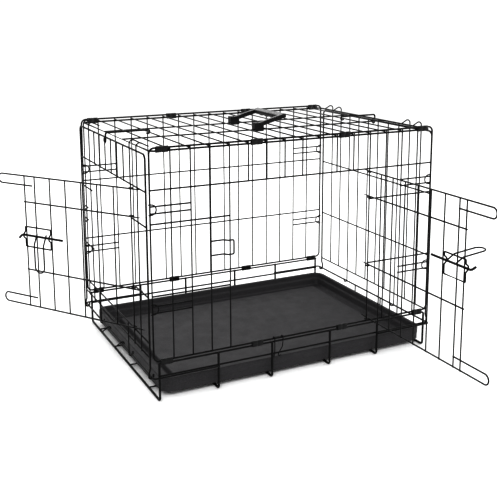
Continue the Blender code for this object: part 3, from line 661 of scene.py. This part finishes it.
def make_top_hook(side, name, y, body):
    """The springy end of an upright wire, which snaps over the roof's end wire."""
    foot = Vector((side * END_MESH_X, y, HOOK_FOOT))
    crest = Vector((side * END_MESH_X, y, HOOK_CREST))
    slope = math.radians(HOOK_SLOPE)
    tip = crest - HOOK_TIP * (math.cos(slope) * side * X + math.sin(slope) * Z)
    wire_piece(name, body, [(rounded([foot, crest, tip], HOOK_BEND, 12), MESH_WIRE, False)])


# Base --------------------------------------------------------------------------------------------------


def make_base():
    wires = []
    for x in BASE_UPRIGHTS:
        z = BASE_WIRE / 2
        corners = [
            (x, -UPRIGHT_Y, BASE_RAIL + 0.0006),
            (x, -UPRIGHT_Y, z),
            (x, UPRIGHT_Y, z),
            (x, UPRIGHT_Y, BASE_RAIL + 0.0006),
        ]
        wires.append((rounded(corners, 0.0070, 9), BASE_WIRE, False))
    reach = BASE_HALF_LENGTH + 0.0010
    for side in (-1, 1):
        for z in (BASE_RAIL, BASE_MID_RAIL):
            y = side * HALF_DEPTH
            wires.append((((-reach, y, z), (reach, y, z)), FRAME_WIRE, False))
        inner = side * (abs(BASE_UPRIGHTS[1]) - 0.0010)
        corners = [
            (inner, -END_RAIL_Y, BASE_MID_RAIL),
            (side * END_RAIL_X, -END_RAIL_Y, BASE_MID_RAIL),
            (side * END_RAIL_X, END_RAIL_Y, BASE_MID_RAIL),
            (inner, END_RAIL_Y, BASE_MID_RAIL),
        ]
        wires.append((rounded(corners, 0.0060, 8), FRAME_WIRE, False))
    for y in FLOOR_WIRES_Y:
        start = (-reach, y, FLOOR_WIRE_Z)
        if abs(y) > 0.1:
            wires.append(((start, (reach, y, FLOOR_WIRE_Z)), RAIL_WIRE, False))
            continue
        corners = [start, (POST_X, y, FLOOR_WIRE_Z), (POST_X, y, BASE_MID_RAIL + 0.0010)]
        wires.append((rounded(corners, 0.0035, 8), RAIL_WIRE, False))
    wire_piece("base_frame", "crate", wires)


def make_tray_stop():
    """A wire loop curled round the left end rail."""
    radius = wrap_radius(FRAME_WIRE, MESH_WIRE)
    place = Vector((-END_RAIL_X, 0, BASE_MID_RAIL))
    curl = arc((0, 0, 0), radius, -120, 125, 20, X, Z)
    near = [p + STOP_LEGS_Y[0] * Y for p in curl]
    far = [p + STOP_LEGS_Y[1] * Y for p in curl]
    out = Vector((-0.0150, 0, -0.0052))
    corners = [near[-1], out + STOP_LEGS_Y[0] * Y, out + STOP_LEGS_Y[1] * Y, far[-1]]
    path = [*near[:-1], *rounded(corners, 0.0050, 8), *reversed(far[:-1])]
    wire_piece("tray_stop", "tray_stop", [(path, MESH_WIRE, False)], turn=Matrix.Translation(place))


# Tray --------------------------------------------------------------------------------------------------


def tray_ring(inset, z):
    radius = max(TRAY_CORNER - inset, 0.0020)
    left, right = TRAY_LEFT + inset, TRAY_RIGHT - inset
    width = TRAY_HALF_WIDTH - inset
    centres = (
        (right - radius, width - radius, 0),
        (left + radius, width - radius, 90),
        (left + radius, -width + radius, 180),
        (right - radius, -width + radius, 270),
    )
    ring = []
    for cx, cy, start in centres:
        ring += arc((cx, cy, z), radius, start, start + 90, 12, X, Y)
    return ring


def eased(points, share=0.42, steps=4):
    """A profile whose corners are rounded as far as its shorter runs allow."""
    made = [points[0]]
    for before, corner, after in zip(points, points[1:], points[2:]):
        a, b, c = Vector(before), Vector(corner), Vector(after)
        back = share * min((a - b).length, (c - b).length, 0.0060)
        start, stop = b + (a - b).normalized() * back, b + (c - b).normalized() * back
        for s in range(steps + 1):
            t = s / steps
            made.append(start.lerp(b, t).lerp(b.lerp(stop, t), t).to_tuple())
    return [*made, points[-1]]


def make_tray():
    floor, wall = TRAY_FLOOR, 0.0028
    moat = TRAY_BOTTOM + wall
    profile = eased(
        [
            (0.0600, floor - wall),
            (0.0460, floor - wall),
            (0.0430, TRAY_BOTTOM),
            (0.0040, TRAY_BOTTOM),
            (0.0010, TRAY_BOTTOM + 0.0030),
            (0.0010, 0.0215),
            (0.0000, 0.0230),
            (0.0000, TRAY_TOP - 0.0012),
            (0.0012, TRAY_TOP),
            (0.0064, TRAY_TOP),
            (0.0076, TRAY_TOP - 0.0016),
            (0.0086, 0.0270),
            (0.0120, 0.0250),
            (0.0140, moat + 0.0030),
            (0.0170, moat),
            (0.0390, moat),
            (0.0430, floor - 0.0010),
            (0.0450, floor),
            (0.0600, floor),
        ]
    )
    bm = bmesh.new()
    rings = [[bm.verts.new(p) for p in tray_ring(inset, z)] for inset, z in profile]
    bridge(bm, rings)
    piece("tray", "tray", bm, "tray_plastic", 60)


# Clips -------------------------------------------------------------------------------------------------


def sleeve_ring(first, second, radius, seam, steps=12):
    """The outline of a flattened sleeve round two wires, pinched in along a seam on one flat side."""
    along = (second - first).normalized()
    across = X.cross(along)
    points = arc(second, radius, 90, -90, steps, along, across)
    middle = (first + second) / 2
    for share, depth in ((-0.30, 0.0), (-0.10, 0.5), (0.0, 1.0), (0.10, 0.5), (0.30, 0.0)):
        points.append(middle - share * (second - first) - (radius - seam * depth) * across)
    points += arc(first, radius, -90, -270, steps, along, across)
    return points


def clip_piece(name, first, second, x):
    first, second = Vector(first), Vector(second)
    half, wall = CLIP_LENGTH / 2, CLIP_WALL
    outer = CLIP_INNER + wall
    stations = [
        (-half, CLIP_INNER, 0.0),
        (-half, outer - 0.0003, 0.0001),
        (-half + 0.0004, outer, 0.0003),
        (-0.10 * half, outer, 0.0003),
        (-0.04 * half, outer - 0.0004, 0.0003),
        (0.04 * half, outer - 0.0004, 0.0003),
        (0.10 * half, outer, 0.0003),
        (half - 0.0004, outer, 0.0003),
        (half, outer - 0.0003, 0.0001),
        (half, CLIP_INNER, 0.0),
    ]
    bm = bmesh.new()
    rings = []
    for along, radius, seam in stations:
        outline = sleeve_ring(first, second, radius, seam)
        rings.append([bm.verts.new(p + (x + along) * X) for p in outline])
    bridge(bm, rings, capped=False)
    piece(name, "crate", bm, "black_steel", 50)


def make_clips():
    for side, side_name in ((-1, "front"), (1, "back")):
        pairs = {
            "top": ((0, side * HALF_DEPTH, PANEL_TOP), (0, side * ROOF_HALF_DEPTH, ROOF_Z)),
            "bottom": ((0, side * HALF_DEPTH, PANEL_BOTTOM), (0, side * HALF_DEPTH, BASE_RAIL)),
        }
        for level, (first, second) in pairs.items():
            for i, bay in enumerate(CLIP_BAYS, 1):
                name = f"{side_name}_{level}_hinge_clip_{i}"
                clip_piece(name, first, second, bay_x(bay) + CLIP_LENGTH / 2)


# Doors -------------------------------------------------------------------------------------------------


def door_wires(door):
    """A door in its own frame: its hinge along z through the origin, its wires along +x, outward +y."""
    mesh_y = CURL - (RAIL_WIRE + MESH_WIRE) / 2 + WELD
    high, low = door["rails"][0], door["rails"][-1]
    spots = [i * door["pitch"] for i in range(1, int((door["edge"] - 0.010) / door["pitch"]) + 1)]
    wires = []
    for x in (*spots, door["edge"]):
        wires.append((((x, mesh_y, low - WELD), (x, mesh_y, high + WELD)), MESH_WIRE, False))
    radius = LOOP_HEIGHT / 2
    for z in door["rails"]:
        curl = arc((0, 0, z), CURL, -150, 90, 20, X, Y)
        if z in (high, low):
            toward = -1 if z == high else 1
            centre = (door["loop_tip"] - radius, CURL, z + toward * radius)
            end = Vector((door["edge"] - 0.0230, CURL, z + toward * LOOP_HEIGHT))
            path = [*curl, *arc(centre, radius, -90 * toward, 90 * toward, 14, X, Z), end]
        else:
            path = [*curl, Vector((door["edge"] + WELD, CURL, z))]
        wires.append((path, RAIL_WIRE, False))
    return wires


def guide_wires(door, near, foot, stand):
    """A wire loop on the door's face, whose two sides bulge out over the bolt."""
    high, rise = GUIDE_HEIGHT / 2, door["bolt_z"] - door["guide_z"]
    side = [(foot, -high), (foot, rise - 0.0080), (stand, rise - 0.0030)]
    side += [(stand, rise + 0.0030), (foot, rise + 0.0080), (foot, high)]
    corners = [Vector((door["edge"], y, z)) for y, z in side]
    corners += [Vector((near, y, z)) for y, z in reversed(side)]
    path = []
    for i, corner in enumerate(corners):
        around = [corners[i - 1], corner, corners[(i + 1) % len(corners)]]
        radius = 0.0030 if abs(corner.z) == high else 0.0020
        path += rounded(around, radius, 5)[1:-1]
    return [([p + door["guide_z"] * Z for p in path], RAIL_WIRE, True)]


def out_from(angle):
    a = math.radians(angle)
    return math.cos(a) * Y + math.sin(a) * Z


def bolt_wires(door):
    """A rod along +x with a bent tip and a long wire finger loop, from the rod's tail."""
    length = door["bolt_span"][1] - door["bolt_span"][0]
    bend, turn = door["bolt_bend"]
    rod = [Vector(), length * X, length * X + bend * out_from(turn)]
    lean = door["handle_angle"] + HANDLE_LEAN
    root = out_from(lean + 90) * ((ROD_WIRE + RAIL_WIRE) / 2 - WELD)
    knee = root + HANDLE_ROOT * out_from(lean)
    away, half = out_from(door["handle_angle"]), HANDLE_WIDTH / 2
    end = knee + (HANDLE_LENGTH - half) * away
    leg = rounded([root - door["handle_stub"] * out_from(lean), knee, end], 0.0060, 8)
    middle = (door["handle_at"] - door["bolt_span"][0]) * X
    near = [p + middle - half * X for p in leg[:-1]]
    far = [p + middle + half * X for p in leg[:-1]]
    loop = [*near, *arc(end + middle, half, 180, 0, 18, X, away), *reversed(far)]
    return [(rounded(rod, 0.0035, 8), ROD_WIRE, False), (loop, RAIL_WIRE, False)]


def make_doors():
    for door, hinge in ((FRONT_DOOR, front_hinge()), (LEFT_DOOR, left_hinge())):
        place, turn = hinge
        turn += math.radians(door["open_by"])
        body = Matrix.Translation(place) @ Matrix.Rotation(turn, 4, "Z")
        name = door["name"]
        wire_piece(name, name, door_wires(door), turn=body)
        face = CURL - (RAIL_WIRE + MESH_WIRE) / 2 + WELD + MESH_WIRE / 2
        foot = face + GAP + RAIL_WIRE / 2
        rod_y = face + 2 * GAP + ROD_WIRE / 2
        stand = rod_y + corner_reach(ROD_WIRE) + corner_reach(RAIL_WIRE) + GAP
        near = door["pitch"] * (int((door["edge"] - 0.010) / door["pitch"]) - 1)
        wire_piece(f"{name}_bolt_guide", name, guide_wires(door, near, foot, stand), turn=body)
        rod = body @ Matrix.Translation((door["bolt_span"][0], rod_y, door["bolt_z"]))
        wire_piece(f"{name}_slide_bolt", f"{name}_bolt", bolt_wires(door), turn=rod)


# Small hardware ----------------------------------------------------------------------------------------


def make_roof_latch(side):
    radius = wrap_radius(MESH_WIRE, FRAME_WIRE)
    place = Vector((side * LATCH_X, 0, ROOF_Z + MESH_OFFSET))
    curl = arc((0, 0, 0), radius, 330, 90, 20, side * X, Z)
    outer = side * END_MESH_X - place.x + side * 0.0036
    eye, eye_z = 0.0050, 0.4600 - place.z
    drop = rounded([curl[-1], (outer, 0, radius), (outer, 0, eye_z)], 0.0040, 8)
    ring = arc((outer, eye, eye_z), eye, 180, 430, 22, Y, Z)
    path = [*curl[:-1], *drop[:-1], *ring]
    name = "left_roof_latch" if side < 0 else "right_roof_latch"
    wire_piece(name, name, [(path, FRAME_WIRE, False)], turn=Matrix.Translation(place))


def make_lock_hook():
    radius = wrap_radius(FRAME_WIRE, LOCK_WIRE)
    left = [(-0.0112, -0.0375), (-0.0091, -0.0239), (-0.0091, -0.0060)]
    right = [(0.0044, -0.0345), (0.0006, -0.0370), (-0.0014, -0.0320), (0.0076, -0.0180)]
    right.append((0.0091, -0.0060))
    over = arc((0, 0, 0), radius, 180, 10, 14, Y, Z)
    path = rounded([Vector((x, -radius, z)) for x, z in [*left, (-0.0091, 0)]], 0.0020, 4)[:-1]
    path += [p + left[-1][0] * X for p in over]
    path += [p + right[-1][0] * X for p in reversed(over)]
    path += rounded([Vector((x, -radius, z)) for x, z in [(0.0091, 0), *reversed(right)]], 0.0012, 4)[1:]
    place = Matrix.Translation((-0.0510, -HALF_DEPTH, PANEL_BOTTOM))
    wire_piece("fold_lock_hook", "fold_lock_hook", [(path, LOCK_WIRE, False)], turn=place)


# Carry handle ------------------------------------------------------------------------------------------


def bar_section(low_u, high_u, low_v, high_v, radius, steps=5):
    """A rounded rectangle, as (u, v) pairs."""
    centres = (
        (high_u - radius, high_v - radius, 0),
        (low_u + radius, high_v - radius, 90),
        (low_u + radius, low_v + radius, 180),
        (high_u - radius, low_v + radius, 270),
    )
    section = []
    for u, v, start in centres:
        for s in range(steps + 1):
            a = math.radians(start + 90 * s / steps)
            section.append((u + radius * math.cos(a), v + radius * math.sin(a)))
    return section


def loft(bm, rings):
    bridge(bm, [[bm.verts.new(p) for p in ring] for ring in rings])


def end_ease(distance, radius=0.0018):
    """How much a bar's section shrinks so close to its rounded end."""
    if distance >= radius:
        return 0.0
    return radius - math.sqrt(radius**2 - (radius - distance) ** 2)


def make_handle():
    """A bail with two legs, a ridged grip and two pivot pins."""
    bm = bmesh.new()
    for side in (-1, 1):
        y = side * HANDLE_Y
        low, high = -0.0048, HANDLE_REACH
        spots = [low + d for d in (0, 0.0002, 0.0006, 0.0011, 0.0018)]
        spots += [low + (high - low) * s / 16 for s in range(2, 15)]
        spots += [high - d for d in (0.0018, 0.0011, 0.0006, 0.0002, 0)]
        rings = []
        for x in spots:
            ease = max(end_ease(x - low), end_ease(high - x))
            t = (x - low) / (high - low)
            waist = 0.0005 * math.sin(math.pi * t) ** 2
            section = bar_section(
                y - LEG_HALF_WIDTH + ease + waist,
                y + LEG_HALF_WIDTH - ease - waist,
                -LEG_HALF_DEPTH + ease,
                LEG_HALF_DEPTH - ease,
                0.0019,
            )
            rings.append([Vector((x, u, v)) for u, v in section])
        loft(bm, rings)
        pin = [(y - 0.00725, 0.0016), (y - 0.0069, 0.0020), (y + 0.0069, 0.0020), (y + 0.00725, 0.0016)]
        circle = [2 * math.pi * k / 20 for k in range(20)]
        loft(bm, [[Vector((r * math.cos(a), s, r * math.sin(a))) for a in circle] for s, r in pin])
    grip_y = HANDLE_Y + LEG_HALF_WIDTH
    rings = []
    stations = 121
    for i in range(stations):
        t = i / (stations - 1)
        y = -grip_y + 2 * grip_y * t
        ease = end_ease(grip_y - abs(y), 0.0016)
        inside = max(0.0, 1 - abs(2 * t - 1) / 0.72)
        wave = 0.0016 * (0.5 - 0.5 * math.cos(10 * math.pi * t)) * min(1.0, inside * 6)
        low_v, high_v = -0.0045 - wave + ease, 0.0045 - ease
        section = bar_section(-0.0085 + ease, 0.0085 - ease, low_v, high_v, 0.0032)
        rings.append([Vector((HANDLE_REACH - 0.0050 + u, y, v)) for u, v in section])
    loft(bm, rings)
    lift = Matrix.Rotation(-math.radians(HANDLE_LIFT), 4, "Y")
    bm.transform(Matrix.Translation((PIVOT_X, 0, PIVOT_Z)) @ lift)
    piece("carry_handle", "carry_handle", bm, "black_plastic", 55)


def finish_handle_feet():
    """The feet keep their solids, with softened edges."""
    for name in ("front_handle_foot", "back_handle_foot"):
        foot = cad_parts[name]
        foot.data.materials.clear()
        foot.data.materials.append(FINISHES["black_plastic"])
        soften = foot.modifiers.new("soft_edges", "BEVEL")
        soften.width = 0.0004
        soften.segments = 3
        soften.limit_method = "ANGLE"
        soften.angle_limit = math.radians(35)


# Studio ------------------------------------------------------------------------------------------------


def make_floor():
    bm = bmesh.new()
    bmesh.ops.create_circle(bm, cap_ends=True, segments=96, radius=30)
    mesh = bpy.data.meshes.new("studio_floor")
    bm.to_mesh(mesh)
    bm.free()
    made = bpy.data.objects.new("studio_floor", mesh)
    bpy.context.scene.collection.objects.link(made)
    pale = Finish("studio_paper").constants(Specular_IOR_Level=0.1, Roughness=0.9)
    pale.colour(pale.ramp(pale.noise(2.0, 2), (0.3, 0.955), (0.7, 0.965)))
    mesh.materials.append(pale.material)


def area_light(name, place, target, size, energy):
    data = bpy.data.lights.new(name, "AREA")
    data.shape = "DISK"
    data.size = size
    data.energy = energy
    made = bpy.data.objects.new(name, data)
    bpy.context.scene.collection.objects.link(made)
    made.location = place
    made.rotation_euler = (Vector(target) - Vector(place)).to_track_quat("-Z", "Y").to_euler()


def make_studio():
    make_floor()
    world = bpy.data.worlds.new("studio")
    bpy.context.scene.world = world
    world.use_nodes = True
    world.node_tree.nodes["Background"].inputs["Color"].default_value = (1, 1, 1, 1)
    world.node_tree.nodes["Background"].inputs["Strength"].default_value = 1.08
    centre = (0, 0, 0.2)
    area_light("key", (-1.6, -2.2, 2.6), centre, 1.6, 60)
    area_light("fill", (2.4, -1.4, 1.8), centre, 2.0, 28)
    area_light("rim", (0.8, 2.4, 2.2), centre, 1.6, 30)
    view_settings = bpy.context.scene.view_settings
    view_settings.view_transform = "Standard"
    view_settings.gamma = CONTRAST_GAMMA


def make_camera():
    data = bpy.data.cameras.new("camera")
    data.sensor_fit = "AUTO"
    data.sensor_width = 36
    data.lens = CAMERA_LENS
    data.shift_y = CAMERA_SHIFT_Y
    data.clip_end = 100
    made = bpy.data.objects.new("camera", data)
    bpy.context.scene.collection.objects.link(made)
    back = CAMERA_RIGHT.cross(CAMERA_UP).normalized()
    up = back.cross(CAMERA_RIGHT).normalized()
    turn = Matrix((CAMERA_RIGHT.normalized(), up, back)).transposed().to_4x4()
    made.matrix_world = Matrix.Translation(CAMERA_PLACE) @ turn
    bpy.context.scene.camera = made


make_base()
make_long_panels()
make_roof()
end_panel(-1, True, "left_end")
end_panel(1, False, "right_end")
make_clips()
make_doors()
make_tray()
make_tray_stop()
make_roof_latch(-1)
make_roof_latch(1)
make_lock_hook()
make_handle()
finish_handle_feet()
make_studio()
make_camera()
